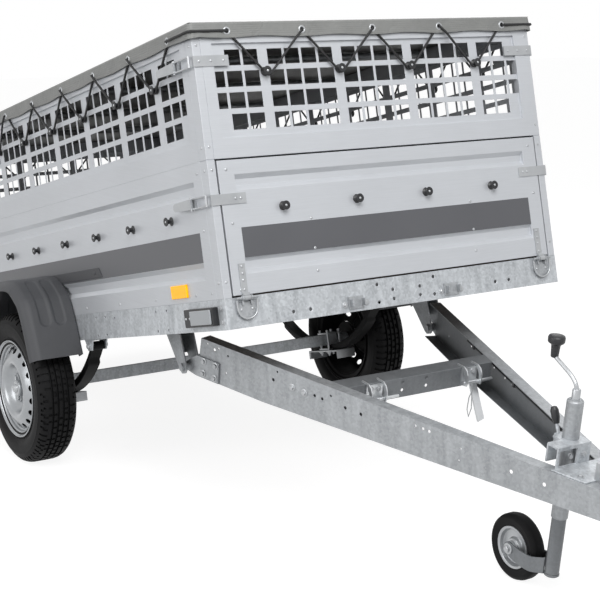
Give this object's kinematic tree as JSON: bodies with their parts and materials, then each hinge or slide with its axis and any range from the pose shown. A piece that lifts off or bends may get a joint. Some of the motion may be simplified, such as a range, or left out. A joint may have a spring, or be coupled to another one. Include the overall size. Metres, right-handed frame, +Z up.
{
  "type": "tipping box trailer",
  "caption": "Tipping box trailer with mesh sides under a flat laced cover, leaf-sprung wheels in mudguards, V drawbar with ball coupling and crank jockey wheel.",
  "frame": {"origin": "on the ground under the middle of the tipped trailer's box", "axes": "+X forwards to the coupling, +Y to the left, +Z up"},
  "size_m": [4.1062, 1.68, 1.6198],
  "materials": {
    "zinc": "hot-dip galvanised, spangled",
    "sheet": "satin pale grey coated sheet",
    "black_plastic": "moulded, slightly grained",
    "guard_plastic": "moulded, slightly grained",
    "black_steel": "black enamel",
    "tyre_rubber": "matte",
    "rim_silver": "silver enamel",
    "plywood": "phenolic film faced",
    "cover_cloth": "coated polyester, satin",
    "clear_lens": "clear",
    "red_lens": "clear red",
    "amber_lens": "reflective amber"
  },
  "bodies": {
    "drawbar": {"arm_right": "zinc", "arm_left": "zinc", "hinge_plates": "zinc", "crossbar": "zinc", "tip_latches": "zinc", "nose_plate": "zinc", "jockey_clamp": "zinc", "clamp_lever": "black_plastic", "jockey_tube": "zinc", "jockey_crank": "zinc", "crank_knob": "black_plastic", "coupling_head": "zinc", "coupling_lever": "zinc", "drawbar_cable": "black_plastic"},
    "bed": {"floor_board": "plywood", "front_beam": "zinc", "rear_beam": "zinc", "rail_right": "zinc", "rail_left": "zinc", "cross_members": "zinc", "hinge_brackets": "zinc", "side_board_right": "sheet", "side_board_left": "sheet", "posts_right": "sheet", "posts_left": "sheet", "mesh_right": "sheet", "mesh_left": "sheet", "mesh_front": "sheet", "mesh_rear": "sheet", "cover": "cover_cloth", "cover_bows": "zinc", "cord_knobs": "black_plastic", "side_latches": "zinc", "gate_hinges": "zinc", "tip_hooks": "zinc", "mudguard_right": "guard_plastic", "mudguard_left": "guard_plastic", "leaf_spring_right": "black_steel", "leaf_spring_left": "black_steel", "spring_hangers": "zinc", "axle_beam": "zinc", "spring_clamps": "zinc", "lamp_housings": "black_plastic", "marker_lenses": "clear_lens", "tail_lenses": "red_lens", "side_reflectors": "amber_lens"},
    "front_gate": {"front_gate": "sheet", "front_gate_straps": "zinc", "front_gate_knobs": "black_plastic"},
    "tail_gate": {"tail_gate": "sheet", "tail_gate_straps": "zinc", "tail_gate_knobs": "black_plastic"},
    "wheel_right": {"tyre_right": "tyre_rubber", "rim_right": "rim_silver"},
    "wheel_left": {"tyre_left": "tyre_rubber", "rim_left": "rim_silver"},
    "jockey_leg": {"jockey_leg": "zinc"},
    "jockey_fork": {"jockey_fork": "zinc"},
    "jockey_wheel": {"jockey_tyre": "tyre_rubber", "jockey_rim": "rim_silver"}
  },
  "joints": [
    {"name": "bed_tip", "type": "hinge", "parent": "drawbar", "child": "bed", "pos_m": [0.35889, 0, 0.49929], "axis": [0, -1, 0], "range_deg": [-20.8, 11]},
    {"name": "front_gate_drop", "type": "hinge", "parent": "bed", "child": "front_gate", "pos_m": [0.85894, 0, 0.81966], "axis": [0, 1, 0], "range_deg": [0, 90]},
    {"name": "tail_gate_drop", "type": "hinge", "parent": "bed", "child": "tail_gate", "pos_m": [-1.88017, 0, 0.21993], "axis": [0, -1, 0], "range_deg": [0, 90]},
    {"name": "wheel_right_spin", "type": "hinge", "parent": "bed", "child": "wheel_right", "pos_m": [-0.4837, -0.735, 0.28], "axis": [0, 1, 0], "continuous": true},
    {"name": "wheel_left_spin", "type": "hinge", "parent": "bed", "child": "wheel_left", "pos_m": [-0.4837, 0.735, 0.28], "axis": [0, 1, 0], "continuous": true},
    {"name": "jockey_slide", "type": "slide", "parent": "drawbar", "child": "jockey_leg", "axis": [-0.1469, 0, -0.9891], "range_m": [-0.12, 0.06]},
    {"name": "jockey_swivel", "type": "hinge", "parent": "jockey_leg", "child": "jockey_fork", "pos_m": [1.5681, 0, 0.07796], "axis": [0.1469, 0, 0.9891], "continuous": true},
    {"name": "jockey_spin", "type": "hinge", "parent": "jockey_fork", "child": "jockey_wheel", "pos_m": [1.41973, 0, 0.1], "axis": [0, 1, 0], "continuous": true}
  ]
}
